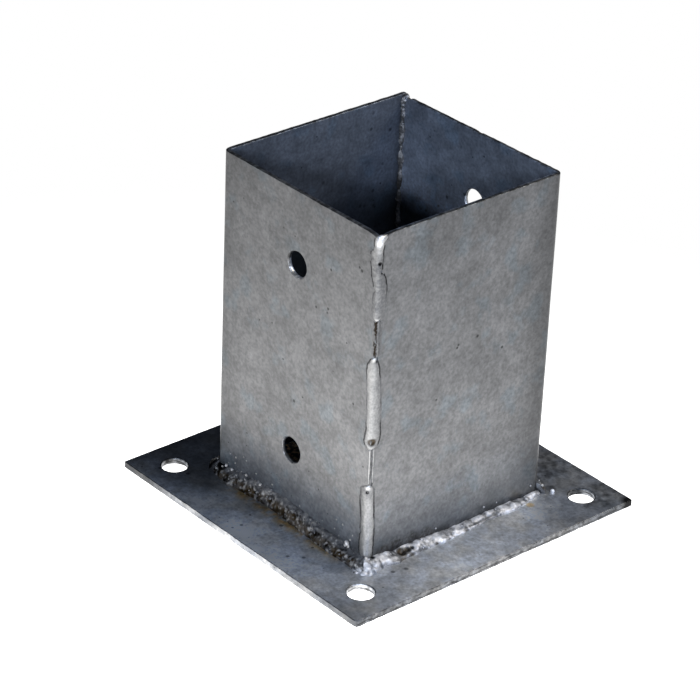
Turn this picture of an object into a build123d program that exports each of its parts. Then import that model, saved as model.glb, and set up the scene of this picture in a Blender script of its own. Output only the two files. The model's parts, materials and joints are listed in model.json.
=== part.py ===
"""Bolt-down socket for a 90 mm square fence or gate post, in welded steel.

Two bent sheet angles are butted into a square tube, joined along two opposite
corners with short seam welds, and welded all round to a square base plate.

Frame: millimetres, +Z up.  The origin is the centre of the plate's underside,
so the plate rests on Z = 0.  The walls that take the cross bolts face -Y and +Y.
The welded seams run up the (+X, -Y) corner, called the front one here, and the
(-X, +Y) corner, the rear one.  The sheets are bent at the other two corners.
"""
import os

from build123d import *

# --- driving dimensions ---------------------------------------------------
POST_SIZE = 90.0            # side of the timber post that the socket takes
POST_CLEARANCE = 0.5        # air between the post and each wall
SHEET = 2.0                 # wall thickness of the socket
OVERALL_HEIGHT = 150.0      # from the ground to the socket's rim
BEND_RADIUS = 1.0           # inside radius of the two bent corners

PLATE_SIDE = 150.0
PLATE_THICKNESS = 3.0
PLATE_CORNER_RADIUS = 0.5
BASE_HOLE_SPACING = 120.0
HOLE_DIAMETER = 11.0        # base holes and cross bolt holes alike

BOLT_HOLE_FROM_ENDS = 31.5  # cross bolt holes, from the plate and from the rim
RIM_DROP = 1.0              # fit-up error: the +Y wall's rim dips at the rear seam

# --- weld sizes -----------------------------------------------------------
SEAM_ON_PASSING_WALL = 2.4  # how far a seam bead reaches over the wall that runs past
SEAM_ON_BUTTED_WALL = 4.0   # how far it reaches over the wall that butts into it
SEAM_CROWN = 0.3            # weld metal left over the seam's sharp corner, along X and Y
SEAM_BULGE = 0.4            # how far a seam bead's face stands off its chords
SEAM_STITCHES = {           # bottom and top of each stitch, above the ground
    "top": (114.5, 149.5),
    "middle": (57.5, 97.0),
    "bottom": (PLATE_THICKNESS, 40.5),
}
SEAM_CORNERS = {"front": 0, "rear": 180}    # turn of each seam about the axis

ROOT_BEAD_LEG = 1.5         # weld metal that came through into the rear corner
ROOT_BEAD_SPAN = (60.0, 148.0)

BASE_WELDS = {              # turn about the axis, leg along the plate, leg up the wall
    "front": (0, 4.6, 6.0),
    "right": (90, 4.5, 2.8),
    "back": (180, 4.5, 5.0),
    "left": (270, 4.5, 5.0),
}
WELD_BULGE = 0.6            # how far a fillet weld's face stands off its chord

# --- derived dimensions ---------------------------------------------------
INSIDE = POST_SIZE + 2 * POST_CLEARANCE
OUTSIDE = INSIDE + 2 * SHEET
HALF_IN = INSIDE / 2
HALF_OUT = OUTSIDE / 2
HALF_PLATE = PLATE_SIDE / 2
SOCKET_HEIGHT = OVERALL_HEIGHT - PLATE_THICKNESS
BOLT_HOLE_HEIGHTS = (
    PLATE_THICKNESS + BOLT_HOLE_FROM_ENDS,
    OVERALL_HEIGHT - BOLT_HOLE_FROM_ENDS,
)


def turned(degrees, height=0.0):
    """A horizontal plane at the given height, turned about the socket's axis."""
    return Plane.XY.rotated((0, 0, degrees)).offset(height)


def angle_outline(plane):
    """Outline of one bent angle: walls at local -Y and -X, bent where they meet."""
    with BuildSketch(plane) as outline:
        with BuildLine():
            Polyline(
                (HALF_OUT, -HALF_OUT),
                (-HALF_OUT, -HALF_OUT),
                (-HALF_OUT, HALF_IN),
                (-HALF_IN, HALF_IN),
                (-HALF_IN, -HALF_IN),
                (HALF_OUT, -HALF_IN),
                close=True,
            )
        make_face()
        outer_bend = vertices().sort_by_distance((-HALF_OUT, -HALF_OUT))[0]
        fillet(outer_bend, radius=BEND_RADIUS + SHEET)
        inner_bend = vertices().sort_by_distance((-HALF_IN, -HALF_IN))[0]
        fillet(inner_bend, radius=BEND_RADIUS)
    return outline.sketch


def wall_holes():
    """Both cross bolt holes, drawn on the vertical plane through the axis."""
    with BuildSketch(Plane.XZ) as holes:
        with Locations(*[(0, height) for height in BOLT_HOLE_HEIGHTS]):
            Circle(HOLE_DIAMETER / 2)
    return holes.sketch


def seam_outline(plane):
    """Round bead over the seam corner at local (+X, -Y), before the walls are cut out."""
    with BuildSketch(plane) as outline:
        with BuildLine():
            on_passing = (HALF_OUT - SEAM_ON_PASSING_WALL, -HALF_OUT)
            crown = (HALF_OUT + SEAM_CROWN, -HALF_OUT - SEAM_CROWN)
            on_butted = (HALF_OUT, -HALF_OUT + SEAM_ON_BUTTED_WALL)
            SagittaArc(crown, on_passing, SEAM_BULGE)
            SagittaArc(on_butted, crown, SEAM_BULGE)
            Line(on_butted, on_passing)
        make_face()
    return outline.sketch


def fillet_outline(plane, leg_out, leg_up):
    """Section of a base weld: a bulging triangle that reaches in as far as the bends."""
    chord_middle = (HALF_OUT + leg_out / 2, leg_up / 2)
    chord = (leg_out**2 + leg_up**2) ** 0.5
    bulged = (
        chord_middle[0] + WELD_BULGE * leg_up / chord,
        chord_middle[1] + WELD_BULGE * leg_out / chord,
    )
    with BuildSketch(plane) as outline:
        with BuildLine():
            ThreePointArc((HALF_OUT + leg_out, 0), bulged, (HALF_OUT, leg_up))
            Polyline((HALF_OUT, leg_up), (HALF_IN, leg_up), (HALF_IN, 0), (HALF_OUT + leg_out, 0))
        make_face()
    return outline.sketch


# --- base plate -----------------------------------------------------------
with BuildPart() as base_plate:
    with BuildSketch():
        RectangleRounded(PLATE_SIDE, PLATE_SIDE, PLATE_CORNER_RADIUS)
        with GridLocations(BASE_HOLE_SPACING, BASE_HOLE_SPACING, 2, 2):
            Circle(HOLE_DIAMETER / 2, mode=Mode.SUBTRACT)
    extrude(amount=PLATE_THICKNESS)

# --- the two bent angles --------------------------------------------------
with BuildPart() as socket_angle_left:
    extrude(angle_outline(turned(0, PLATE_THICKNESS)), amount=SOCKET_HEIGHT)
    extrude(wall_holes(), amount=OUTSIDE, mode=Mode.SUBTRACT)

with BuildPart() as socket_angle_right:
    extrude(angle_outline(turned(180, PLATE_THICKNESS)), amount=SOCKET_HEIGHT)
    extrude(wall_holes(), amount=-OUTSIDE, mode=Mode.SUBTRACT)
    sloping_rim = Plane((HALF_OUT, 0, OVERALL_HEIGHT), z_dir=(-RIM_DROP / OUTSIDE, 0, 1))
    split(bisect_by=sloping_rim, keep=Keep.BOTTOM)

# The space that the tube's steel and inside take up, which every outside weld stops at.
with BuildPart() as socket_core:
    with BuildSketch(Plane.XY.offset(PLATE_THICKNESS)):
        Rectangle(OUTSIDE, OUTSIDE)
        bent_corners = [corner for corner in vertices() if corner.X * corner.Y > 0]
        fillet(bent_corners, radius=BEND_RADIUS + SHEET)
    extrude(amount=SOCKET_HEIGHT + SHEET)

# --- welds round the base -------------------------------------------------
base_welds = {}
for side, (turn, leg_out, leg_up) in BASE_WELDS.items():
    outward = Vector(0, -1, 0).rotate(Axis.Z, turn)
    along = Vector(-1, 0, 0).rotate(Axis.Z, turn)
    section_plane = Plane((0, 0, PLATE_THICKNESS), x_dir=outward, z_dir=along)
    with BuildPart() as run:
        extrude(fillet_outline(section_plane, leg_out, leg_up), amount=HALF_PLATE, both=True)
        with BuildSketch(turned(turn)):
            Polygon((0, 0), (-HALF_PLATE, -HALF_PLATE), (HALF_PLATE, -HALF_PLATE), align=None)
        extrude(amount=OVERALL_HEIGHT, mode=Mode.INTERSECT)
        add(socket_core.part, mode=Mode.SUBTRACT)
    base_welds[f"base_weld_{side}"] = run

# --- stitches up the two seams --------------------------------------------
seam_welds = {}
for seam, turn in SEAM_CORNERS.items():
    for stitch, (bottom, top) in SEAM_STITCHES.items():
        with BuildPart() as bead:
            extrude(seam_outline(turned(turn, bottom)), amount=top - bottom)
            add(socket_core.part, mode=Mode.SUBTRACT)
            for run in base_welds.values():
                add(run.part, mode=Mode.SUBTRACT)
        seam_welds[f"{seam}_seam_weld_{stitch}"] = bead

with BuildPart() as rear_seam_root_weld:
    root_bottom, root_top = ROOT_BEAD_SPAN
    with BuildSketch(Plane.XY.offset(root_bottom)):
        with Locations((-HALF_IN, HALF_IN)):
            Circle(ROOT_BEAD_LEG)
        Rectangle(INSIDE, INSIDE, mode=Mode.INTERSECT)
    extrude(amount=root_top - root_bottom)

# --- one file for each piece ----------------------------------------------
pieces = {
    "base_plate": base_plate,
    "socket_angle_left": socket_angle_left,
    "socket_angle_right": socket_angle_right,
    "rear_seam_root_weld": rear_seam_root_weld,
    **base_welds,
    **seam_welds,
}
os.makedirs("parts", exist_ok=True)
for name, piece in pieces.items():
    piece.part.label = name
    export_step(piece.part, f"parts/{name}.step")
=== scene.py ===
"""Looks of a welded steel post socket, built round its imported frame.

The sheets and the plate are rebuilt at the frame's own sizes with worn, sheared edges, and
the plain weld solids are replaced by lumpy beads.  Geometry is worked out in millimetres
and turned into metres as each mesh is made.  The front wall is at -Y and the right wall at
+X; the front seam stands at their corner and the rear seam at the corner across from it.
"""
import json
import math
import random
from collections import namedtuple

import bmesh
import bpy
import numpy as np
from mathutils import Matrix, Vector, noise


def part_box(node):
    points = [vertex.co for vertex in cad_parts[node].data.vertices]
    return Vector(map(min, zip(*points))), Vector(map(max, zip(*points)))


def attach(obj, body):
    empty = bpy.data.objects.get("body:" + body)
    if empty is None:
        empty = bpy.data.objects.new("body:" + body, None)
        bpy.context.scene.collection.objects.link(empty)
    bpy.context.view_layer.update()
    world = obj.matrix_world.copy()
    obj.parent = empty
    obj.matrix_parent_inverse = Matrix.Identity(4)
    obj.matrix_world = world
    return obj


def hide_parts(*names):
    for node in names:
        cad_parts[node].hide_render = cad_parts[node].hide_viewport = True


MM = 0.001

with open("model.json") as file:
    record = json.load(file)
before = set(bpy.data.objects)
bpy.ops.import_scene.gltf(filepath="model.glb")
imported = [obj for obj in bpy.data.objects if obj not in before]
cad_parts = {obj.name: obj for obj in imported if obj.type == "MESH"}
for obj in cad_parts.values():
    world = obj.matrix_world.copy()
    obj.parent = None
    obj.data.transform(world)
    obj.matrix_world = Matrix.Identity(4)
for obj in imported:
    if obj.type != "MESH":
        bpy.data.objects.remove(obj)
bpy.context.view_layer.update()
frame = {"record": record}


def box_mm(node):
    """Low and high corner of a CAD node's box."""
    low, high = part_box(node)
    return low / MM, high / MM


# ---- sizes from the frame
PLATE_HALF, _, PLATE_TOP = box_mm("base_plate")[1]
HALF_OUT, HALF_IN, RIM = box_mm("socket_angle_left")[1]
SHEET = HALF_OUT - HALF_IN
TALL = RIM - PLATE_TOP
MOUNTS = {mount["name"]: mount for mount in frame["record"]["mounts"]}
BASE_HOLE = MOUNTS["base_bolts"]["dims"]["spacing_x_mm"] / 2
HOLE_RADIUS = MOUNTS["base_bolts"]["dims"]["hole_r_mm"]
BOLT_HEIGHTS = [MOUNTS[f"cross_bolt_{level}"]["pos_m"][2] / MM for level in ("lower", "upper")]

# ---- sizes of the looks
BEND_OUTSIDE = 3.0
BEND_INSIDE = BEND_OUTSIDE - SHEET
BEND_PARTS = 8
RIM_DROP = 1.0  # fall of the back wall's rim towards the rear seam
CORNER = 0.5  # radius of a blank's corners, seen flat
OUTLINE_STEP = 1.0
HOLE_POINTS = 72
PLATE_ARRIS, SHEET_ARRIS, HOLE_ARRIS = 0.35, 0.3, 0.6
PLATE_RAGGED, SHEET_RAGGED = 0.12, 0.14
PLATE_GRID, SHEET_GRID = 6.0, 5.0
STITCH_STEP = 0.35  # between a stitch's rings
STITCH_CAP = 1.8  # length of a stitch's rounded ends
BEAD_STEP = 0.4  # between any other bead's rings
FAN = 50.0  # degrees that a base bead turns at each corner
FAN_REACH = 3.0  # how far out its steps are measured
SHARP = 0.05  # radius of the socket's foot at a seam
DROPLET_SMALL, DROPLET_LARGE = 0.3, 0.7


# ---- small helpers
def grain(point, size, seed):
    """Smooth noise from -1 to 1 with lumps about the given size."""
    return noise.noise(Vector(point) / size + Vector((seed * 7.31, seed * 3.17, seed * 5.93)))


def smooth_step(x):
    """0 below 0, 1 above 1, and eased in between."""
    x = min(max(x, 0.0), 1.0)
    return x * x * (3 - 2 * x)


def bell(x, centre, width):
    """1 at the centre, falling away smoothly over the width."""
    return math.exp(-(((x - centre) / width) ** 2))


def read_off(table, at):
    """Value at a place between the rows of a short (place, value) table."""
    return float(np.interp(at, [row[0] for row in table], [row[1] for row in table]))


def levels(bottom, top, step):
    """Heights from the bottom to the top, spaced evenly and about a step apart."""
    count = round((top - bottom) / step)
    return [bottom + (top - bottom) * index / count for index in range(count + 1)]


def direction(azimuth, elevation):
    """Unit vector out from the part; azimuth 0 is the front and 90 the right."""
    turn, tilt = math.radians(azimuth), math.radians(elevation)
    level = math.cos(tilt)
    return Vector((math.sin(turn) * level, -math.cos(turn) * level, math.sin(tilt)))


def add_object(name, data):
    """A new object in the scene."""
    added = bpy.data.objects.new(name, data)
    bpy.context.scene.collection.objects.link(added)
    return added


def finish_piece(name, bm, material, replaced, weighted=True):
    """Turns a bmesh in millimetres into a piece that rides on the part."""
    bmesh.ops.recalc_face_normals(bm, faces=bm.faces)
    for vert in bm.verts:
        vert.co *= MM
    for face in bm.faces:
        face.smooth = True
    mesh = bpy.data.meshes.new(name)
    bm.to_mesh(mesh)
    bm.free()
    mesh.materials.append(material)
    piece = add_object(name, mesh)
    if weighted:
        modifier = piece.modifiers.new("face_weighted_normals", "WEIGHTED_NORMAL")
        modifier.keep_sharp = False
    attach(piece, "root")
    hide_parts(*replaced)


# ---- materials
WHITE = (1, 1, 1, 1)


class Recipe:
    """The nodes of one procedural material, with sizes given in millimetres."""

    def __init__(self, name):
        self.material = bpy.data.materials.new(name)
        self.material.use_nodes = True
        self.tree = self.material.node_tree
        place = self.new("TexCoord").outputs["Object"]
        self.mm = self.vector("SCALE", place, 1 / MM)
        split = self.new("SeparateXYZ")
        self.feed(split.inputs[0], self.mm)
        self.axes = split.outputs[:]

    def new(self, kind):
        """A new shader node."""
        return self.tree.nodes.new("ShaderNode" + kind)

    def feed(self, socket, value):
        """Links a socket to a value that is itself a socket, or else sets it."""
        if isinstance(value, bpy.types.NodeSocket):
            self.tree.links.new(value, socket)
        else:
            socket.default_value = value

    def vector(self, operation, first, second):
        """Result of one vector operation."""
        node = self.new("VectorMath")
        node.operation = operation
        self.feed(node.inputs[0], first)
        self.feed(node.inputs["Scale" if operation == "SCALE" else 1], second)
        return node.outputs["Value" if operation == "DISTANCE" else "Vector"]

    def calc(self, operation, first, second=0):
        """Result of one sum on plain values."""
        node = self.new("Math")
        node.operation = operation
        self.feed(node.inputs[0], first)
        self.feed(node.inputs[1], second)
        return node.outputs[0]

    def product(self, first, *others):
        """Plain values multiplied together."""
        for other in others:
            first = self.calc("MULTIPLY", first, other)
        return first

    def ramp(self, value, low, high, start=0, end=1):
        """Value carried from low..high to start..end, held at both ends."""
        node = self.new("MapRange")
        for socket, given in zip(node.inputs, (value, low, high, start, end)):
            self.feed(socket, given)
        return node.outputs[0]

    def weight(self, factor, amount):
        """A multiplier that goes from 1 to the amount as the factor goes from 0 to 1."""
        return self.ramp(factor, 0, 1, 1, amount)

    def vary(self, field, amount):
        """A multiplier that wanders by the amount round 1 with a noise field."""
        return self.ramp(field, 0.3, 0.7, 1 - amount, 1 + amount)

    def blend(self, factor, first, second):
        """The first colour where the factor is 0 and the second where it is 1."""
        node = self.new("Mix")
        node.data_type = "RGBA"
        self.feed(node.inputs["Factor"], factor)
        self.feed(node.inputs[6], first)
        self.feed(node.inputs[7], second)
        return node.outputs[2]

    def tint(self, colour, factor, shade):
        """The colour, multiplied by the shade where the factor is 1."""
        return self.vector("MULTIPLY", colour, self.blend(factor, WHITE, shade))

    def times(self, colour, *factors):
        """The colour, scaled by each multiplier."""
        for factor in factors:
            colour = self.vector("SCALE", colour, factor)
        return colour

    def cloud(self, size, detail=2, squeeze=None):
        """Noise with lumps of one size, drawn out along a slanting line if squeezed."""
        place = self.mm
        if squeeze:
            node = self.new("Mapping")
            self.feed(node.inputs["Vector"], place)
            node.inputs["Rotation"].default_value = squeeze[0]
            node.inputs["Scale"].default_value = squeeze[1]
            place = node.outputs[0]
        node = self.new("TexNoise")
        self.feed(node.inputs["Vector"], place)
        node.inputs["Scale"].default_value = 1 / size
        node.inputs["Detail"].default_value = detail
        return node.outputs[0]

    def pits(self, spacing, size, share):
        """Round specks in a random share of the cells of a grid."""
        node = self.new("TexVoronoi")
        self.feed(node.inputs["Vector"], self.mm)
        node.inputs["Scale"].default_value = 1 / spacing
        near = self.ramp(node.outputs["Distance"], 0.5 * size / spacing, size / spacing, 1, 0)
        split = self.new("SeparateColor")
        self.feed(split.inputs[0], node.outputs["Color"])
        return self.product(near, self.ramp(split.outputs[0], 1 - share, 1.02 - share))

    def spots(self, places):
        """Soft round marks at (x, y, z, radius)."""
        total = None
        for x, y, z, radius in places:
            away = self.vector("DISTANCE", self.mm, (x, y, z))
            mark = self.ramp(away, 0.5 * radius, radius, 1, 0)
            total = mark if total is None else self.calc("MAXIMUM", total, mark)
        return total

    def painted(self, name):
        """A value painted on the mesh's vertices."""
        node = self.new("Attribute")
        node.attribute_name = name
        return node.outputs["Fac"]

    def finish(self, colour, metallic, rough, height, depth):
        """Feeds the shader, with the height field as bumps of the given depth."""
        shader = self.tree.nodes["Principled BSDF"]
        for name, value in ("Base Color", colour), ("Metallic", metallic), ("Roughness", rough):
            self.feed(shader.inputs[name], value)
        node = self.new("Bump")
        node.inputs["Distance"].default_value = depth * MM
        self.feed(node.inputs["Height"], height)
        self.feed(shader.inputs["Normal"], node.outputs[0])
        return self.material


def on_front(*marks):
    """Places on the front wall, from (x, z, radius)."""
    return [(x, -HALF_OUT, z, radius) for x, z, radius in marks]


def on_right(*marks):
    """Places on the right wall, from (y, z, radius)."""
    return [(HALF_OUT, y, z, radius) for y, z, radius in marks]


def on_plate(*marks):
    """Places on the plate's top, from (x, y, radius)."""
    return [(x, y, PLATE_TOP, radius) for x, y, radius in marks]


WALL_PITS = on_front(
    (20.4, 124.8, 0.7), (19.5, 107.4, 0.8), (12.3, 105.2, 0.7), (1, 57.8, 0.9),
    (36.5, 72.9, 0.7), (-6.6, 73.5, 0.6), (38.3, 131.9, 0.9), (36.9, 132.8, 0.7),
) + on_right(
    (6.5, 90.3, 0.9), (-4.2, 88.5, 0.7), (-3.6, 89.6, 0.7), (20.4, 80.8, 0.8), (-13.8, 68.3, 0.6),
)
WELD_SMEAR = on_right((-38, 6.5, 5), (-31, 7, 5.5), (-23, 7, 5), (-15, 6, 5))
RIGHT_SHADES = on_right((1.8, 120, 11), (-14, 143, 16))


def inner_light(recipe, inside, right, brushed):
    """Multipliers of painted light and shade on the tube's inside, with brushed streaks."""
    x, y, z = recipe.axes
    left = recipe.product(inside, recipe.calc("SUBTRACT", 1, right))
    # painted shade: the inside darkens downwards, starting lower in the right angle
    deep_from = recipe.ramp(right, 0, 1, 116, 109)
    deep_to = recipe.ramp(right, 0, 1, 95, 99)
    painted_deep_shade = recipe.product(inside, recipe.ramp(z, deep_from, deep_to))
    # painted shadow of the front wall's rim, slanting across the left angle's inside
    slant = recipe.calc("ADD", z, recipe.product(y, 0.5))
    shaded = recipe.product(left, recipe.ramp(slant, 130.5, 124.5))
    # painted shade in the rear corner
    painted_corner_shade = recipe.product(inside, recipe.ramp(y, 41, 45), recipe.ramp(x, -45, -45.6))
    # painted light on the right angle's inside, strongest low down
    lit = recipe.product(right, recipe.ramp(z, 119, 109, 1.3, 3.4))
    streaks = recipe.product(inside, recipe.ramp(brushed, 0.3, 0.7, -0.16, 0.16))
    return (
        recipe.weight(painted_deep_shade, 0.18),
        recipe.weight(shaded, 0.68),
        recipe.weight(painted_corner_shade, 0.5),
        recipe.calc("ADD", 1, lit),
        recipe.calc("ADD", 1, streaks),
    )


def zinc_sheet():
    """Dull zinc with brushed streaks, bluish patches and pits, darker along its foot, and painted
    light and shade on its inside, rim, hole walls, bends and the right wall's foot.
    """
    recipe = Recipe("zinc_sheet")
    x, _, z = recipe.axes
    brushed = recipe.cloud(9, 4, ((0, 0.55, 0.9), (1, 0.22, 1)))
    fine = recipe.cloud(1.3)
    edge = recipe.painted("edge")
    face = recipe.painted("inside")  # 1 inside the left angle, 2 inside the right one
    inside, right = recipe.ramp(face, 0, 1), recipe.ramp(face, 1, 2)
    pits = recipe.calc("MAXIMUM", recipe.pits(6.5, 0.55, 0.4), recipe.spots(WALL_PITS))
    blots = recipe.product(recipe.pits(5, 1, 0.3), 0.8, inside,
                           recipe.ramp(recipe.cloud(14), 0.45, 0.6))
    pits = recipe.calc("MAXIMUM", pits, blots)

    low = recipe.ramp(z, 32, 12)
    right_wall = recipe.ramp(x, HALF_OUT - 1, HALF_OUT - 0.5)
    # painted shade low on the right wall, warm-toned
    painted_foot_shade = recipe.product(right_wall, recipe.ramp(z, 30, 17))
    dark_foot = recipe.product(right_wall, recipe.ramp(z, 20, 12))
    # a mottled band, darker just above the foot
    foot_band = recipe.product(recipe.ramp(z, 11, 6), recipe.ramp(recipe.cloud(5), 0.4, 0.55))
    smear = recipe.product(recipe.spots(WELD_SMEAR), recipe.ramp(recipe.cloud(1.4, 3), 0.3, 0.62))
    bluish = recipe.ramp(recipe.cloud(11, 2.5), 0.55, 0.66)
    colour = recipe.blend(bluish, (0.132, 0.131, 0.131, 1), (0.125, 0.136, 0.143, 1))
    colour = recipe.tint(colour, low, (0.91, 1, 1.12, 1))
    # painted light: the inside is tinted blue for the bluish light that reaches it
    colour = recipe.tint(colour, inside, (0.92, 1.05, 1.28, 1))
    colour = recipe.tint(colour, painted_foot_shade, (0.87, 0.82, 0.76, 1))
    colour = recipe.tint(colour, smear, (0.36, 0.31, 0.26, 1))

    # painted shade, blotchy, on the sheet's cut edges and rim
    painted_rim_shade = recipe.ramp(recipe.cloud(2.6), 0.42, 0.6, 0.4, 1)
    # painted light on the bolt holes' walls, less on the lower holes
    painted_bore_light = recipe.calc("ADD", recipe.ramp(z, 119.5, 116, 0.5, 4),
                       recipe.ramp(z, 60, 50, 0, -1.8))
    colour = recipe.times(
        colour,
        recipe.vary(recipe.cloud(24, 3), 0.14),
        recipe.vary(recipe.cloud(4.5), 0.14),
        recipe.vary(fine, 0.22),
        recipe.ramp(low, 0, 1, recipe.vary(brushed, 0.05), recipe.vary(brushed, 0.14)),
        recipe.weight(pits, 0.2),
        recipe.weight(recipe.spots(RIGHT_SHADES), 0.86),
        recipe.weight(recipe.spots(on_front((-42, 26, 18))), 0.84),
        recipe.ramp(z, 122, 150, 1, 0.88),
        recipe.weight(dark_foot, 0.7),
        recipe.weight(foot_band, 0.55),
        # painted shade on the outside near the bends
        recipe.weight(recipe.painted("painted_bend_shade"), 0.6),
        recipe.ramp(edge, 0, 0.5, 1, painted_rim_shade),
        recipe.ramp(edge, 0.5, 1, 1, painted_bore_light),
        *inner_light(recipe, inside, right, brushed),
    )
    rough = recipe.ramp(recipe.cloud(15), 0.3, 0.7, 0.36, 0.44)
    return recipe.finish(colour, 0.6, rough, recipe.calc("SUBTRACT", fine, pits), 0.03)


PLATE_PITS = on_plate(
    (56.7, -40.4, 1.2), (58.2, -34.8, 1.3), (27.4, -62.1, 1), (22.8, -66.7, 1),
    (23.8, -54.6, 0.8), (3.5, -54.2, 1.1), (-10.4, -59.3, 0.7), (-6.5, -66.9, 0.9),
    (-51.1, -59.8, 1.1), (-61.5, -66.3, 1.2), (-7.2, -70.9, 0.7),
)
BACK_STAINS = on_plate(
    (32, 70, 10), (36.7, 63.1, 11), (42.6, 73.7, 4), (63, 72, 9),
    (47.8, 53.8, 3), (68.5, 63, 6), (38, 54, 8), (66.5, 57, 4),
)
# painted light and shade on the plate's top as (amount, places): above 1 lightens, below 1 darkens
PAINTED_PLATE_LIGHT = (
    (1.2, on_plate((60, 40, 22), (56, 53, 6))),
    (1.3, on_plate((20, -64, 54), (62, 14, 50))),
    (1.7, on_plate((-55, -82, 26), (-30, -82, 26), (-6, -80, 24), (14, -82, 18))),
    (0.5, on_plate((-72, -50, 46))),
    (0.7, on_plate((70, -66, 20))),
    (0.8, on_plate((64, -50, 11))),
)
HALF_DEEP = PLATE_TOP / 2
LIT_HOLES = ((59.2, 65.4, HALF_DEEP, 4.5), (60, -60, HALF_DEEP, 14))
UNLIT_HOLE = ((54.3, 60.6, HALF_DEEP, 5),)
BLACK_CORNER = ((74.8, 73.5, HALF_DEEP, 5),)
RUST_SPOT = on_plate((52.6, 37.9, 2.2))
# rust crumbs inside the tube, brighter in this patch as painted light
GRIT_LIGHT_PATCH = on_plate((-42, -12, 30))


def sheared_edge(recipe):
    """Painted light and shade on the plate's sheared edge: torn part way down, with a painted
    highlight along the front.
    """
    x, y, z = recipe.axes
    tear = recipe.calc("SUBTRACT", z, recipe.ramp(recipe.cloud(6), 0.3, 0.7, 0.7, 1.7))
    tear = recipe.ramp(recipe.calc("ABSOLUTE", tear), 0.15, 0.4, 0.35, 1)
    torn = recipe.product(recipe.ramp(recipe.cloud(2.2, 3), 0.35, 0.65, 0.05, 0.15), tear)
    # painted highlight along the front edge, brightening from x -58 mm to -46 mm
    darkest = recipe.ramp(x, -58, -46, 0.05, 0.13)
    brightest = recipe.ramp(x, -58, -46, 0.1, 0.28)
    clean = recipe.ramp(recipe.cloud(9, 3), 0.35, 0.65, darkest, brightest)
    front = recipe.ramp(y, 1 - PLATE_HALF, 0.4 - PLATE_HALF)
    torn = recipe.product(torn, recipe.ramp(front, 0, 1, 1.9, 0.3))
    return recipe.calc("ADD", torn, recipe.product(front, clean))


def zinc_plate():
    """Glossier zinc with rust at the weld's toe, stains, dark grit inside the tube with one patch
    brightened as painted light, and painted light and shade on its top, edge and hole walls.
    """
    recipe = Recipe("zinc_plate")
    x, y, _ = recipe.axes
    fine = recipe.cloud(1.2)
    edge = recipe.painted("edge")
    pits = recipe.calc("MAXIMUM", recipe.pits(5, 0.5, 0.5), recipe.spots(PLATE_PITS))
    stains = recipe.product(recipe.spots(BACK_STAINS),
                            recipe.ramp(recipe.cloud(3.5, 3), 0.35, 0.6))
    toe = recipe.product(recipe.ramp(y, -56.5, -52.5), recipe.ramp(y, -46, -48))
    run = recipe.product(recipe.ramp(x, -42, -30), recipe.ramp(x, 42, 30))
    rust = recipe.product(toe, run, recipe.ramp(recipe.cloud(5), 0.35, 0.6))
    rust = recipe.calc("MAXIMUM", rust, recipe.product(0.8, recipe.spots(RUST_SPOT)))
    within = recipe.product(*(
        recipe.ramp(recipe.calc("ABSOLUTE", axis), HALF_IN + 0.1, HALF_IN - 0.5)
        for axis in (x, y)))
    # rust crumbs on the ground inside the tube, at full strength only in the painted light patch
    crumbs = recipe.product(recipe.ramp(recipe.cloud(2, 3), 0.42, 0.62),
                            recipe.ramp(recipe.spots(GRIT_LIGHT_PATCH), 0, 1, 0.25, 1))
    grit = recipe.blend(crumbs, (0.09, 0.08, 0.07, 1), (0.9, 0.66, 0.42, 1))
    warm = recipe.ramp(recipe.cloud(9, 3), 0.4, 0.62)
    colour = recipe.blend(warm, (0.51, 0.535, 0.585, 1), (0.525, 0.525, 0.53, 1))
    colour = recipe.blend(rust, colour, (0.5, 0.37, 0.19, 1))
    colour = recipe.blend(within, colour, grit)

    # painted light and shade on the plate's hole walls
    painted_bore_light = recipe.ramp(recipe.cloud(4), 0.35, 0.62, 0.5, 2.6)
    painted_bore_light = recipe.calc("ADD", painted_bore_light, recipe.product(1.5, recipe.spots(LIT_HOLES)))
    painted_bore_light = recipe.ramp(recipe.spots(UNLIT_HOLE), 0, 1, painted_bore_light, 0.4)
    colour = recipe.times(
        colour,
        recipe.vary(recipe.cloud(26, 3), 0.24),
        recipe.vary(recipe.cloud(4), 0.2),
        recipe.vary(fine, 0.2),
        recipe.weight(pits, 0.35),
        recipe.weight(stains, 0.42),
        *(recipe.weight(recipe.spots(places), amount) for amount, places in PAINTED_PLATE_LIGHT),
        recipe.weight(recipe.spots(BLACK_CORNER), 0.08),
        recipe.ramp(edge, 0, 0.5, 1, sheared_edge(recipe)),
        recipe.ramp(edge, 0.5, 1, 1, painted_bore_light),
    )
    metallic = recipe.ramp(within, 0, 1, 0.93, 0)
    rough = recipe.ramp(recipe.cloud(12), 0.3, 0.7, 0.4, 0.5)
    return recipe.finish(colour, metallic, rough, recipe.calc("SUBTRACT", fine, pits), 0.03)


def weld_metal(name, metallic, rough, dull_grey, bright_grey):
    """Weld metal shaded from black pits, through dull zinc, to clean bright crests."""
    recipe = Recipe(name)
    fine = recipe.cloud(0.9)
    tone = recipe.calc("ADD", recipe.painted("tone"), recipe.ramp(fine, 0.3, 0.7, -0.1, 0.1))
    dull = recipe.blend(recipe.ramp(tone, 0, 0.5), (0.006, 0.006, 0.007, 1), dull_grey)
    colour = recipe.blend(recipe.ramp(tone, 0.5, 1), dull, bright_grey)
    colour = recipe.blend(recipe.ramp(tone, 1.1, 1.5), colour, (0.85, 0.85, 0.87, 1))
    colour = recipe.blend(recipe.painted("rust"), colour, (0.075, 0.052, 0.026, 1))
    return recipe.finish(colour, recipe.ramp(tone, 0, 0.35, 1, metallic), rough, fine, 0.04)


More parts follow.
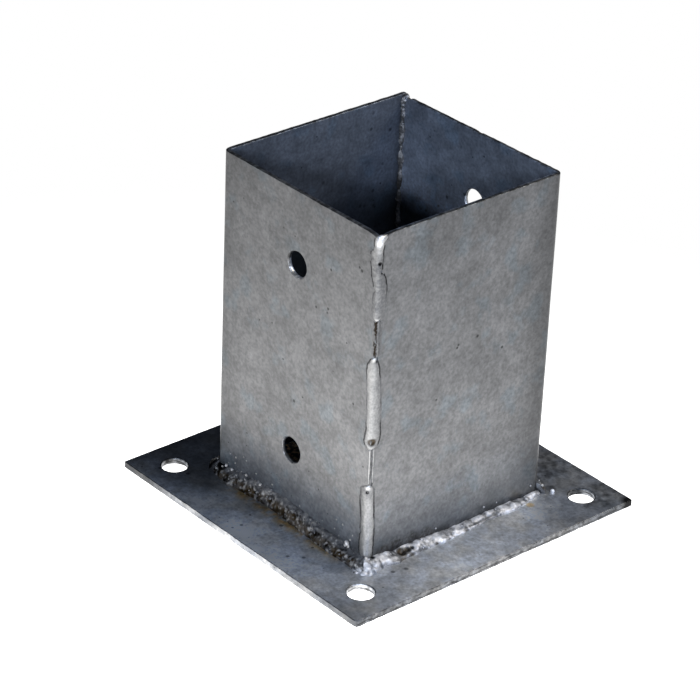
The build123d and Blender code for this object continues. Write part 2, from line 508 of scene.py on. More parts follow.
ZINC_SHEET = zinc_sheet()
ZINC_PLATE = zinc_plate()
SEAM_METAL = weld_metal("weld_seam", 0.6, 0.4, (0.12, 0.12, 0.122, 1), (0.36, 0.355, 0.345, 1))
BURNT_METAL = weld_metal("weld_burnt", 0.4, 0.5, (0.12, 0.122, 0.128, 1), (0.42, 0.4, 0.37, 1))
BASE_METAL = weld_metal("weld_base", 0.4, 0.5, (0.115, 0.114, 0.116, 1), (0.5, 0.485, 0.485, 1))


# ---- steel blanks
def rounded_rectangle(width, height):
    """Points and inward directions round a rectangle whose low corner is the origin."""
    loop = []
    corners = [(CORNER, CORNER, 180), (width - CORNER, CORNER, 270),
               (width - CORNER, height - CORNER, 0), (CORNER, height - CORNER, 90)]
    for index, (x, y, start) in enumerate(corners):
        for part in range(6):
            turn = math.radians(start + 18 * part)
            out = Vector((math.cos(turn), math.sin(turn)))
            loop.append((Vector((x, y)) + out * CORNER, -out))
        last, out = loop[-1][0], -loop[-1][1]
        next_x, next_y, _ = corners[(index + 1) % 4]
        end = Vector((next_x, next_y)) + out * CORNER
        count = max(2, round((end - last).length / OUTLINE_STEP))
        for part in range(1, count):
            loop.append((last.lerp(end, part / count), -out))
    return loop


def round_hole(centre):
    """Points and directions into the metal round a bolt hole."""
    loop = []
    for part in range(HOLE_POINTS):
        turn = math.tau * part / HOLE_POINTS
        out = Vector((math.cos(turn), math.sin(turn)))
        loop.append((Vector(centre) + out * HOLE_RADIUS, out))
    return loop


def edge_rows(thickness, arris):
    """Inset and depth of each row of points across a sheared edge with rounded arrises."""
    rows = []
    for part in range(4):
        turn = math.radians(30 * part)
        rows.append((arris * (1 - math.sin(turn)), arris * (1 - math.cos(turn))))
    rows.append((0.0, thickness / 2))
    for inset, depth in reversed(rows[:4]):
        rows.append((inset, thickness - depth))
    return rows


def blank(thickness, outline, holes, cuts, ragged, nicks):
    """A flat panel in (across, up, depth) with worn edges and a grid cut over its faces.

    The outline and the holes are (loop, arris) pairs; a nick is (across, up, size, bite).
    """
    bm = bmesh.new()
    edge = bm.verts.layers.float.new("edge")
    face_edges, back_edges = [], []
    for index, (loop, arris) in enumerate([outline] + holes):
        rings = []
        rows = edge_rows(thickness, arris)
        for row, (inset, depth) in enumerate(rows):
            inner = row in (0, len(rows) - 1)
            ring = []
            for point, inward in loop:
                wear = 0.0
                if not inner:
                    wear += ragged * grain((point.x, point.y, depth * 2), 1.7, 1)
                    wear += ragged * 0.8 * grain((point.x, point.y, depth), 6.0, 2)
                for x, y, size, bite in nicks:
                    near = ((point.x - x) ** 2 + (point.y - y) ** 2) / size**2
                    wear += bite * math.exp(-near)
                at = point + inward * (inset + wear)
                vert = bm.verts.new((at.x, at.y, depth))
                vert[edge] = 0.0 if inner else 1.0 if index else 0.5
                ring.append(vert)
            rings.append(ring)
        steps = [(i, (i + 1) % len(loop)) for i in range(len(loop))]
        for upper, lower in zip(rings, rings[1:]):
            for i, j in steps:
                bm.faces.new((upper[i], upper[j], lower[j], lower[i]))
        face_edges += [bm.edges.get((rings[0][i], rings[0][j])) for i, j in steps]
        back_edges += [bm.edges.get((rings[-1][i], rings[-1][j])) for i, j in steps]
    for edges in (face_edges, back_edges):
        bmesh.ops.triangle_fill(bm, use_beauty=True, use_dissolve=False, edges=edges)
    for normal, places in cuts:
        for at in places:
            co = Vector(normal) * at
            everything = bm.verts[:] + bm.edges[:] + bm.faces[:]
            bmesh.ops.bisect_plane(bm, geom=everything, plane_co=co, plane_no=normal, dist=1e-4)
    return bm


def grid_cuts(width, height, spacing, extra=()):
    """Cutting planes of a grid, as (normal, places) pairs."""
    across = [spacing * i for i in range(1, int(width / spacing) + 1)]
    up = [spacing * i for i in range(1, int(height / spacing) + 1)]
    return ((1, 0, 0), sorted([*across, *extra])), ((0, 1, 0), up)


# ---- base plate
def make_plate():
    """The base plate, with nicks along its right edge and on its near corners."""
    side = 2 * PLATE_HALF
    outline = (rounded_rectangle(side, side), PLATE_ARRIS)
    holes = [(round_hole((PLATE_HALF + x, PLATE_HALF + y)), HOLE_ARRIS)
             for x in (-BASE_HOLE, BASE_HOLE) for y in (-BASE_HOLE, BASE_HOLE)]
    nicks = ((side, 0, 1.2, 0.5), (side, 6, 0.9, 0.3), (side, 11, 0.8, 0.25),
             (side, 88, 1, 0.25), (side, 120, 1.4, 0.25),
             (8.5, 12.5, 0.9, 0.4), (43, 0, 1.6, 0.2))
    bm = blank(PLATE_TOP, outline, holes, grid_cuts(side, side, PLATE_GRID), PLATE_RAGGED, nicks)
    for vert in bm.verts:
        across, up, depth = vert.co
        sway = 0.06 * grain((across, up, 0), 30, 3) if depth < PLATE_TOP / 2 else 0.0
        vert.co = (across - PLATE_HALF, up - PLATE_HALF, PLATE_TOP - depth + sway)
    finish_piece("plate", bm, ZINC_PLATE, ["base_plate"])


# ---- bent angles
# Each angle is a flat blank: the wall with bolt holes, the bend, then the plain wall.
WALL_RUN = 2 * HALF_OUT - BEND_OUTSIDE
BEND_RUN = math.pi / 2 * (BEND_OUTSIDE + BEND_INSIDE) / 2
PLAIN_RUN = HALF_IN + HALF_OUT - BEND_OUTSIDE
BLANK_RUN = WALL_RUN + BEND_RUN + PLAIN_RUN


def bend(across, depth):
    """Where a point of the left angle's blank goes, in plan, once the sheet is folded."""
    inset = HALF_OUT - BEND_OUTSIDE
    if across <= WALL_RUN:
        return Vector((HALF_OUT - across, -HALF_OUT + depth))
    if across >= WALL_RUN + BEND_RUN:
        return Vector((-HALF_OUT + depth, -inset + across - WALL_RUN - BEND_RUN))
    turn = (across - WALL_RUN) / BEND_RUN * math.pi / 2
    out = Vector((-math.sin(turn), -math.cos(turn)))
    return Vector((-inset, -inset)) + (BEND_OUTSIDE - depth) * out


def make_angle(name, node, half_turn, seed, nicks):
    """A bent angle; the right one is the left one turned half round, with a fallen rim."""
    outline = (rounded_rectangle(BLANK_RUN, TALL), SHEET_ARRIS)
    holes = [(round_hole((HALF_OUT, height - PLATE_TOP)), HOLE_ARRIS) for height in BOLT_HEIGHTS]
    fold = [WALL_RUN + BEND_RUN * part / BEND_PARTS for part in range(BEND_PARTS + 1)]
    cuts = grid_cuts(BLANK_RUN, TALL, SHEET_GRID, fold)
    bm = blank(SHEET, outline, holes, cuts, SHEET_RAGGED, nicks)
    inside = bm.verts.layers.float.new("inside")
    painted_bend_shade = bm.verts.layers.float.new("painted_bend_shade")
    for vert in bm.verts:
        across, up, depth = vert.co
        # painted shade on the outside: each wall darkens towards its bend, more on the right angle
        if depth < SHEET / 2:
            from_bend = abs(across - WALL_RUN - BEND_RUN / 2)
            vert[painted_bend_shade] = (1.0 if half_turn else 0.5) * smooth_step((18 - from_bend) / 18)
        if depth > 0.6 * SHEET:
            vert[inside] = 2.0 if half_turn else 1.0
        # the sheet bows a little, but not at its foot nor at the seams
        sway = 0.12 * grain((across, up, 0), 38, seed) + 0.03 * grain((across, up, 0), 12, seed + 1)
        sway *= smooth_step(up / 12)
        sway *= smooth_step(across / 10) * smooth_step((BLANK_RUN - across) / 10)
        plan = bend(across, depth + sway)
        height = PLATE_TOP + up
        if half_turn:
            fall = max(0.0, 1 - across / (2 * HALF_OUT))
            height -= RIM_DROP * fall * smooth_step((up - TALL + 8) / 8)
            plan = -plan
        vert.co = (plan.x, plan.y, height)
    finish_piece(name, bm, ZINC_SHEET, [node])


# ---- weld metal
# A mark dents a bead and stains it.  Tone runs from 0, black, to above 1, bright.
Mark = namedtuple("Mark", "x y z size depth tone rust", defaults=(0.0,))


def mark_table(*rows):
    """Marks from plain rows."""
    return [Mark(*row) for row in rows]


def weld_mesh():
    """An empty bead: its bmesh and its tone and rust layers."""
    bm = bmesh.new()
    return bm, bm.verts.layers.float.new("tone"), bm.verts.layers.float.new("rust")


def finish_bead(name, bead, metal, node):
    """Turns a bead into the piece that replaces one CAD weld."""
    finish_piece(name, bead[0], metal, [node], weighted=False)


def add_loft(bead, rings):
    """A closed solid through rings of (point, tone, rust), capped at both ends."""
    bm, tone_layer, rust_layer = bead
    rows = []
    for ring in rings:
        row = []
        for point, tone, rust in ring:
            vert = bm.verts.new(point)
            vert[tone_layer] = tone
            vert[rust_layer] = rust
            row.append(vert)
        rows.append(row)
    count = len(rows[0])
    steps = [(i, (i + 1) % count) for i in range(count)]
    for near, far in zip(rows, rows[1:]):
        for i, j in steps:
            bm.faces.new((near[i], near[j], far[j], far[i]))
    bm.faces.new(rows[0])
    bm.faces.new(reversed(rows[-1]))


def add_droplet(bead, centre, size, tone, seed):
    """A lumpy ball of spatter; one over 1 mm gets finer lumps as well."""
    bm, tone_layer, _ = bead
    detail = 2 if size < 1 else 4
    made = bmesh.ops.create_icosphere(
        bm, subdivisions=detail, radius=size, matrix=Matrix.Translation(centre))
    for vert in made["verts"]:
        away = vert.co - Vector(centre)
        push = 0.25 * grain(vert.co, size * 1.3, seed)
        if size > 1:
            push += 0.14 * grain(vert.co, 0.9, seed)
        vert.co += away * push
        vert[tone_layer] = tone + 0.8 * push
        if size > 1:
            vert[tone_layer] += 0.5 * grain(vert.co, 1.6, seed + 1)


def marked(point, marks, tone, rust):
    """Dent, tone and rust at a point of a bead, once the marks near it are made."""
    dent = 0.0
    for mark in marks:
        near = (point - Vector((mark.x, mark.y, mark.z))).length_squared / mark.size**2
        if near < 4:
            dent += mark.depth * math.exp(-1.4 * near)
            share = math.exp(-1.1 * near) if mark.tone > 0.2 else smooth_step(1.5 - near)
            tone += (mark.tone - tone) * share
            rust += (mark.rust - rust) * share
    return dent, tone, rust


# ---- seam beads
def corner_skin(run, rise, ease):
    """Point on the skin a run from the front corner's arris, and the direction outward."""
    if run <= -ease:
        base, out = Vector((HALF_OUT + run, -HALF_OUT)), Vector((0, -1))
    elif run >= ease:
        base, out = Vector((HALF_OUT, -HALF_OUT + run)), Vector((1, 0))
    else:
        turn = (run + ease) / (2 * ease) * math.pi / 2
        out = Vector((math.sin(turn), -math.cos(turn)))
        base = Vector((HALF_OUT - ease, -HALF_OUT + ease)) + out * ease
    return base + out * rise, out


def add_stitch(bead, span, toes, proud, look, marks, spin_turn, seed):
    """One stitch over the corner.

    The toes give its reach on both walls by height, and look(height, share) its tone.
    """
    bottom, top = span
    spin = Matrix.Rotation(math.radians(spin_turn), 3, "Z")
    shares = [math.sin(math.radians(a)) for a in np.linspace(-90, 90, 21)]
    rings = []
    for height in levels(bottom, top, STITCH_STEP):
        from_end = min(min(height - bottom, top - height) / STITCH_CAP, 1)
        cap = math.sqrt(max(0.0, 1 - (1 - from_end) ** 2))
        reach_a = read_off(toes[0], height) + 0.3 * grain((0, 0, height), 2.5, seed)
        reach_b = read_off(toes[1], height) + 0.3 * grain((0, 0, height), 2.5, seed + 1)
        middle = (reach_b - reach_a) / 2
        half = (reach_a + reach_b) / 2 * (0.2 + 0.8 * cap)
        line = 0.48 - 0.4 * smooth_step(0.8 + 1.6 * grain((0, 0, height), 7, seed + 2))
        # each row of the skirt beyond a toe: how far out, how high, and its tone
        skirt = [(0.95, -0.35, 0.5), (0.7, 0.04, 0.5), (0.45, 0.02, line), (0.1, 0.02, line)]
        samples = [(-1, *row) for row in skirt]
        samples += [(share, 0.0, None, 0.0) for share in shares]
        samples += [(1, *row) for row in reversed(skirt)]
        ring = []
        for share, off, rise, tone in samples:
            run = middle + half * share + math.copysign(off, share) * cap
            if rise is None:
                hump = max(0.0, 1 - abs(share) ** 2.6) ** 0.75
                lump = 0.22 * grain((run, 0, height), 4.5, seed + 3)
                lump += 0.12 * grain((run, 0, height), 1.5, seed + 4)
                rise = hump * (proud + lump) + 0.02
                tone = look(height, share) + 0.35 * lump
                tone += (line - tone) * smooth_step((abs(share) - 0.9) / 0.1)
            rise = rise * cap - 0.35 * (1 - cap)
            flat, out = corner_skin(run, rise, 1.0)
            dent, tone, rust = marked(Vector((*flat, height)), marks, tone, 0.0)
            flat -= out * dent
            ring.append((spin @ Vector((*flat, height)), tone, rust))
        ring.append((spin @ Vector((HALF_OUT - 1.4, -HALF_OUT + 1.4, height)), 0.5, 0.0))
        rings.append(ring)
    add_loft(bead, rings)


def add_ridges(bead, span, ridges, valley, spin_turn, seed):
    """Thin raised lines along a bare stretch of the joint.

    A ridge is (run, width, rise, tone), and valley(height, run) is the tone between them.
    """
    bottom, top = span
    spin = Matrix.Rotation(math.radians(spin_turn), 3, "Z")
    first, last = ridges[0][0] - 0.8, ridges[-1][0] + 0.8
    rings = []
    for height in levels(bottom, top, BEAD_STEP):
        fade = smooth_step(min(height - bottom, top - height))
        wander = 0.15 * grain((0, 0, height), 4, seed)
        ring = []
        for run in np.linspace(first, last, 25):
            rise, tone = 0.02, valley(height, run)
            for centre, width, tall, bright in ridges:
                peak = 0.8 + 0.5 * grain((centre, 0, height), 3, seed + 1)
                peak *= bell(run, centre, width)
                rise += tall * peak
                tone += (bright - tone) * min(1.0, peak)
            edge = smooth_step(min(run - first, last - run) / 0.35)
            tone += (0.5 - tone) * (1 - edge)
            rise = (rise * edge - 0.2 * (1 - edge)) * fade - 0.25 * (1 - fade)
            flat, _ = corner_skin(run + wander, rise, 0.35)
            rust = 0.18 * smooth_step((0.3 - tone) / 0.3)
            ring.append((spin @ Vector((*flat, height)), tone, rust))
        ring.append((spin @ Vector((HALF_OUT - 1.2, -HALF_OUT + 1.2, height)), 0.5, 0.0))
        rings.append(ring)
    add_loft(bead, rings)


# reach of the stitches' toes as (height, reach), on the front wall and on the right wall
TOP_TOES = (
    ((114, 0.8), (116, 2.2), (123, 2.3), (127, 1.7), (132, 3.3), (139, 4.4), (143, 4.3),
     (145, 2.8), (150, 2.2)),
    ((114, 1.2), (116, 3.6), (120, 4.3), (128, 4.5), (132, 3.5), (135, 1.8), (144, 1.9),
     (147, 2.6), (149, 4.4)),
)
MIDDLE_TOES = (
    ((57, 1.2), (58, 2.6), (60, 3.6), (65, 2.6), (80, 2.9), (91, 3.8), (94, 3.4),
     (96.5, 2), (98, 0.9)),
    ((57, 1.2), (58, 3.4), (61, 4.7), (70, 4.5), (78, 4.2), (87, 3.5), (93, 2.7),
     (96.5, 1.5), (98, 0.9)),
)
BOTTOM_TOES = (
    ((5, 3.2), (16, 3.6), (24, 3.1), (34, 4.4), (38.5, 3.9), (40, 2.4), (41, 1.2)),
    ((5, 3.5), (20, 4), (28, 3.2), (36, 3.1), (38.5, 3), (40, 2.2), (41, 1.2)),
)
TOP_MARKS = mark_table(
    (47.5, -46.9, 138.6, 0.9, 0.5, -0.1), (47.5, -46.6, 136.6, 0.5, 0.3, 0.1),
    (47.5, -45.7, 134.6, 0.9, 0.4, -0.1), (43, -47.5, 139.4, 0.9, 0.3, -0.1),
    (43.6, -47.5, 143.8, 1, 0.3, 0), (42.7, -47.5, 144.6, 0.7, 0.2, 0.1),
    (45.8, -47.5, 126.8, 0.9, 0.3, 0), (47.5, -46.5, 115.9, 0.7, 0.4, -0.1),
    (47.3, -46.7, 114.4, 0.9, -0.35, 1.4), (47.5, -47.3, 149.6, 1.9, 0.3, 1.7),
    (47.3, -47.5, 146.8, 1.6, 0.1, 1.6), (47.2, -47.5, 143.8, 1.2, 0, 1),
    (47.5, -43.6, 149.4, 0.8, 0.2, 1.2), (47.5, -44.6, 147, 0.9, 0.2, 0.1),
)
MIDDLE_MARKS = mark_table(
    (47.3, -46.6, 60.6, 1.7, 0.9, 0.02, 0.5), (47.5, -46.3, 96.7, 0.8, 0.4, -0.2),
    (47.3, -47.4, 97.6, 0.9, -0.3, 1.5), (47.5, -45.5, 56.9, 0.8, -0.2, 1.3),
    (47.4, -47.2, 58.3, 0.9, 0, 0.9),
)
BOTTOM_MARKS = mark_table(
    (47.3, -47.3, 40, 1.2, -0.2, 1.5), (47.4, -47.3, 42, 0.7, 0.4, -0.1),
    (47.2, -47.5, 37.8, 0.7, 0.35, -0.1), (44, -47.5, 18.4, 1, 0.2, 0),
)
CRACK_SPAN, GAP_SPAN = (97.5, 114.5), (41, 57.8)
CRACK_RIDGES = ((-1.4, 0.22, 0.06, 0.55), (1.3, 0.3, 0.1, 0.62), (3, 0.3, 0.06, 0.55))
GAP_RIDGES = ((0, 0.3, 0.22, 1.1), (1.95, 0.33, 0.2, 1))


def top_look(height, share):
    """Tone of the top stitch, brighter towards the rim."""
    return 0.5 + 0.1 * bell(share, -0.2, 0.35) + 0.3 * smooth_step((height - 139) / 6)


def middle_look(height, share):
    """Tone of the middle stitch, brighter down its front side."""
    return 0.72 + 0.12 * bell(share, -0.35, 0.4) - 0.12 * smooth_step((share - 0.2) / 0.5)


def bottom_look(height, share):
    """Tone of the bottom stitch, duller at both ends."""
    return 0.62 + 0.16 * smooth_step((38 - height) / 8) - 0.1 * smooth_step((11 - height) / 5)


def crack_tone(height, run):
    """Tone in the open crack between the two upper stitches."""
    if run > 1.2:
        return 0.34
    width = 0.5 + 0.7 * grain((0, 0, height), 1.3, 66) + 0.9 * grain((0, run, height), 0.7, 69)
    ragged = smooth_step((abs(run + 0.9 * grain((0, 0, height), 2.2, 67)) - width) / 0.4)
    filled = smooth_step(1.6 - abs(height - 106) / 1.2)
    return min(0.45, -0.04 + 0.22 * filled + 0.6 * ragged)


def gap_tone(height, run):
    """Tone in the closed joint between the two lower stitches."""
    return 0.32


STITCHES = (
    ("top", (113.8, 150.1), TOP_TOES, 0.55, top_look, TOP_MARKS),
    ("middle", (56.8, 98.3), MIDDLE_TOES, 0.65, middle_look, MIDDLE_MARKS),
    ("bottom", (PLATE_TOP, 41.2), BOTTOM_TOES, 0.6, bottom_look, BOTTOM_MARKS),
)


def make_seam(corner, spin_turn, seed):
    """The stitches and bare stretches up one corner; only the front one has its marks."""
    for index, (stitch, span, toes, proud, look, marks) in enumerate(STITCHES):
        bead = weld_mesh()
        dark_last = sorted(marks if corner == "front" else (), key=lambda mark: -mark.tone)
        add_stitch(bead, span, toes, proud, look, dark_last, spin_turn, seed + 10 * index)
        if stitch == "top":
            add_ridges(bead, CRACK_SPAN, CRACK_RIDGES, crack_tone, spin_turn, seed + 5)
        if stitch == "middle":
            add_ridges(bead, GAP_SPAN, GAP_RIDGES, gap_tone, spin_turn, seed + 6)
        node = f"{corner}_seam_weld_{stitch}"
        finish_bead(f"{corner}_bead_{stitch}", bead, SEAM_METAL, node)


# ---- base beads
def corner_fan(centre, radius, first, last):
    """Points and outward directions round one corner of the socket's foot."""
    count = max(2, round((radius + FAN_REACH) * math.radians(FAN) / BEAD_STEP))
    fan = []
    for part in range(count + 1):
        turn = math.radians(first + (last - first) * part / count)
        out = Vector((math.sin(turn), -math.cos(turn)))
        fan.append((centre + out * radius, out))
    return fan


def foot_path(side_turn, start_radius, end_radius):
    """Points, outward directions and places along one wall's foot and round its corners."""
    near = Vector((start_radius - HALF_OUT, start_radius - HALF_OUT))
    far = Vector((HALF_OUT - end_radius, end_radius - HALF_OUT))
    start, end = Vector((near.x, -HALF_OUT)), Vector((far.x, -HALF_OUT))
    parts = round((end - start).length / BEAD_STEP)
    path = corner_fan(near, start_radius, -FAN, 0.0)
    path += [(start.lerp(end, part / parts), Vector((0, -1))) for part in range(1, parts)]
    path += corner_fan(far, end_radius, 0.0, FAN)
    spin = Matrix.Rotation(math.radians(side_turn), 2)
    return [(spin @ point, spin @ out, point.x + FAN_REACH * out.x) for point, out in path]


def make_base_bead(side_turn, radii, legs, belly, lumps, look, marks, spatter, seed):
    """A fillet weld along one wall's foot.

    The legs are (along, reach out) and (along, reach up) tables; the lumps are (scale, size)
    pairs; look(along, share, push, at) is the metal's tone and rust; the spatter is its
    count of droplets, their darkest and brightest tone, and how far up the bead they sit.
    """
    bead = weld_mesh()
    rings = []
    path = foot_path(side_turn, *radii)
    for foot, out, along in path:
        leg_out, leg_up = read_off(legs[0], along), read_off(legs[1], along)
        outward = Vector((out.x, out.y, 0))
        ring = []
        for turn in np.linspace(-24, 114, 26):
            angle = math.radians(turn)
            across, up = math.cos(angle), math.sin(angle)
            flat = 1 - (1 - belly) * 0.3 * max(0.0, math.sin(2 * angle))
            reach, rise = max(across, -0.4) * leg_out * flat, max(up, -0.4) * leg_up * flat
            at = Vector((foot.x, foot.y, PLATE_TOP + rise)) + outward * reach
            push = sum(size * grain(at, scale, seed + k) for k, (scale, size) in enumerate(lumps))
            tone, rust = look(along, turn / 90, push, at)
            dent, tone, rust = marked(at, marks, tone, rust)
            aim = (outward * across * leg_up + Vector((0, 0, up * leg_out))).normalized()
            ring.append((at + (push - dent) * aim, tone, rust))
        # three points buried in the sheet and the plate close the ring
        buried = Vector((foot.x, foot.y, 0)) - outward * 1.2
        toe = Vector((foot.x, foot.y, PLATE_TOP - 1.0)) + outward * leg_out * 0.7
        ring.append((buried + Vector((0, 0, PLATE_TOP + leg_up * 0.7)), 0.3, 0.0))
        ring.append((buried + Vector((0, 0, PLATE_TOP - 1.0)), 0.3, 0.0))
        ring.append((toe, 0.3, 0.0))
        rings.append(ring)
    add_loft(bead, rings)
    scatter = random.Random(seed)
    count, darkest, brightest, highest = spatter
    for index in range(count):
        foot, out, along = path[scatter.randrange(len(path))]
        leg_out, leg_up = read_off(legs[0], along), read_off(legs[1], along)
        angle = math.radians(scatter.uniform(20, highest))
        size = DROPLET_SMALL + (DROPLET_LARGE - DROPLET_SMALL) * scatter.random() ** 2
        spread = scatter.uniform(0.8, 1.0)
        plan = foot + out * (math.cos(angle) * leg_out * spread)
        centre = Vector((*plan, PLATE_TOP + math.sin(angle) * leg_up * spread))
        add_droplet(bead, centre, size, scatter.uniform(darkest, brightest), seed + index)
    return bead


def burnt_look(along, share, push, at):
    """Burnt, granular metal with rust along the toe."""
    speck = smooth_step((grain(at, 1.2, 77) - 0.05) / 0.3)
    high = smooth_step((share - 0.35) / 0.45)
    tone = 0.17 + 0.7 * speck + 0.7 * push + 0.45 * grain(at, 5, 75)
    tone += (0.5 + 0.2 * push + 0.25 * grain(at, 2.5, 83) - tone) * 0.85 * high
    # painted shadow: darker round the front-left corner
    tone -= 0.5 * smooth_step((-at.x - 38) / 6) * smooth_step((-at.y - 36) / 6)
    toe = smooth_step((0.7 - share) / 0.4) * smooth_step(0.7 + 1.6 * grain(at, 4, 78))
    rust = (1 - high) * (0.15 + 0.6 * toe) * (1 - 0.6 * speck)
    return tone, rust


def clean_look(along, share, push, at):
    """Clean rippled metal with duller patches, browned here and there at its toe."""
    ripple = math.sin(math.tau * along / 2.6 + 2 * share + 5 * grain(at, 5, 79))
    ripple *= 0.5 + grain(at, 6, 76)
    patch = smooth_step(0.5 + 1.6 * grain(at, 3.2, 81))
    tone = 0.58 + 0.5 * patch + 0.5 * push + 0.14 * ripple + 0.25 * grain(at, 0.9, 82)
    # painted shadow: darker near the front-left corner
    tone -= 0.8 * smooth_step((-at.x - 38) / 6) * smooth_step((-at.y - 28) / 10)
    rust = 0.7 * smooth_step(0.4 - share) * smooth_step(1.8 * grain(at, 3, 80))
    return tone, rust


FRONT_LEGS = (
    ((-50, 1.6), (-46, 3), (-35, 4.4), (-20, 2.8), (-12, 1.9), (0, 3), (15, 3.9),
     (30, 4.7), (48, 4.2)),
    ((-50, 2.2), (-46, 4), (-36, 5), (-22, 7), (-10, 7.8), (8, 7.5), (20, 6),
     (34, 5.4), (48, 5.4)),
)
RIGHT_LEGS = (
    ((-50, 4.6), (-40, 5.2), (-34, 6.2), (-24, 5), (-8, 5), (4, 4.5), (14, 3.6),
     (24, 3.9), (30, 4.4), (37, 3), (47, 2)),
    ((-50, 5.4), (-40, 3.6), (-33, 2.6), (-25, 2.9), (-15, 2.3), (-5, 1.5), (8, 1.4),
     (18, 1.9), (26, 1.8), (36, 1.5), (47, 1.6)),
)
HIDDEN_LEGS = (
    ((-50, 4.2), (-20, 4.8), (10, 4), (50, 4.6)),
    ((-50, 4.8), (-25, 5.2), (15, 4.4), (50, 5)),
)
GRANULAR = ((4, 0.45), (1.6, 0.45), (0.8, 0.25))
RIPPLED = ((5, 0.5), (2.2, 0.4), (1, 0.15))
TOE_GROOVE = (6, 7.3, 8.6, 10, 11.3, 12.6, 14, 15.3, 16.6, 18, 19.3, 20.6)
RIGHT_MARKS = mark_table(
    (50, -30, 5, 2.2, 1.3, 0.06, 0.3), (50, -27, 5, 1.5, 1.1, 0.1, 0.2),
    (50, -24.6, 5, 1, 0.8, 0.1), (52.8, -31.2, 3.2, 1.7, 0.5, 0.3, 0.6),
    (52.6, -26.4, 3.2, 1.3, 0.5, 0.25, 0.5), (48.2, -44.4, 6.6, 1.3, 0.7, 0),
    (48.6, -44, 6.2, 0.6, -0.6, 1.1),
    *((50.6 - 0.03 * (y - 8), y, 4, 0.7, 0.35, 0.32) for y in TOE_GROOVE),
    (52.4, -13, 3.4, 1, 0.5, 0.25, 0.6), (52, -20, 3.4, 0.9, 0.4, 0.3, 0.5),
    (52, 3.5, 3.4, 1, 0.3, 0.3, 0.4),
)
FRONT_DROPLETS = (  # x, z, size
    (-40.2, 8.2, 0.75), (-36.5, 7.8, 0.7), (-27.2, 9.7, 0.6), (-20.6, 8.6, 0.6),
    (-18, 9.6, 0.65), (37.2, 9.6, 1), (36.2, 8.2, 0.8), (38, 8.4, 0.7),
)
FRONT_SPECKS = 60
RIGHT_DROPLETS = ((16.1, 7.6, 0.45), (-10, 7.2, 0.4), (23.3, 7.2, 0.35), (42.3, 8.2, 0.4))
PLATE_DROPLET = (50.5, 52.5, 3.4)
CORNER_BLOB = (  # x, y, z, size, tone
    (48.8, -48.8, 4, 2.3, 0.7), (50.2, -48.4, 3, 2.2, 1), (48.4, -50.4, 2.7, 2.1, 1),
    (50.9, -50.6, 2.2, 1.7, 1.1), (46.4, -51.2, 2.4, 1.8, 0.6), (51.8, -46.2, 3, 2, 0.8),
    (52.6, -49, 2.3, 1.4, 1.1), (48.2, -52.6, 2.3, 1.3, 1),
)


def make_base_beads():
    """The four base welds: the front and back ones burnt, the right and left ones clean."""
    front = make_base_bead(0, (BEND_OUTSIDE, SHARP), FRONT_LEGS, 0.55, GRANULAR,
                           burnt_look, (), (70, 0.45, 0.85, 95), 21)
    scatter = random.Random(7)
    for index in range(FRONT_SPECKS):
        x, z = scatter.uniform(-42, 42), 8 + 12 * scatter.random() ** 1.6
        size, tone = scatter.uniform(0.25, 0.5), scatter.uniform(0.2, 0.9)
        add_droplet(front, Vector((x, -HALF_OUT + 0.15, z)), size, tone, index)
    for x, z, size in FRONT_DROPLETS:
        add_droplet(front, Vector((x, -HALF_OUT - 0.6, z)), size, 1.15, x)
    right = make_base_bead(90, (SHARP, BEND_OUTSIDE), RIGHT_LEGS, 0.9, RIPPLED,
                           clean_look, RIGHT_MARKS, (30, 0.7, 1.1, 80), 31)
    for y, z, size in RIGHT_DROPLETS:
        add_droplet(right, Vector((HALF_OUT + 0.1, y, z)), size, 0.8, y)
    add_droplet(right, Vector(PLATE_DROPLET), 0.9, 1.3, 5)
    for x, y, z, size, tone in CORNER_BLOB:
        add_droplet(right, Vector((x, y, z)), size, tone, x)
    back = make_base_bead(180, (BEND_OUTSIDE, SHARP), HIDDEN_LEGS, 0.6, GRANULAR,
                          burnt_look, (), (60, 0.5, 1.1, 95), 41)
    left = make_base_bead(270, (SHARP, BEND_OUTSIDE), HIDDEN_LEGS, 0.8, RIPPLED,
                          clean_look, (), (60, 0.5, 1.1, 95), 51)
    for side, bead, metal in (("front", front, BURNT_METAL), ("right", right, BASE_METAL),
                              ("back", back, BURNT_METAL), ("left", left, BASE_METAL)):
        finish_bead(f"weld_{side}", bead, metal, f"base_weld_{side}")


# ---- root bead
RIM_BLOB = (  # x, y, z, size, tone
    (-47.2, 46.6, 148.2, 1.6, 0.45), (-45.7, 46.8, 148.3, 1.5, 0.5),
    (-45.8, 45.6, 147.4, 1.4, 0.6), (-44.9, 45.4, 147, 1.1, 0.7),
    (-44.9, 44.9, 145.2, 0.9, 0.55), (-44.8, 44.9, 143.4, 0.8, 0.65),
    (-44.7, 44.7, 141, 0.7, 0.6), (-44.6, 44.6, 137, 0.6, 0.6),
    (-44.6, 44.8, 126.5, 0.7, 0.6),
)


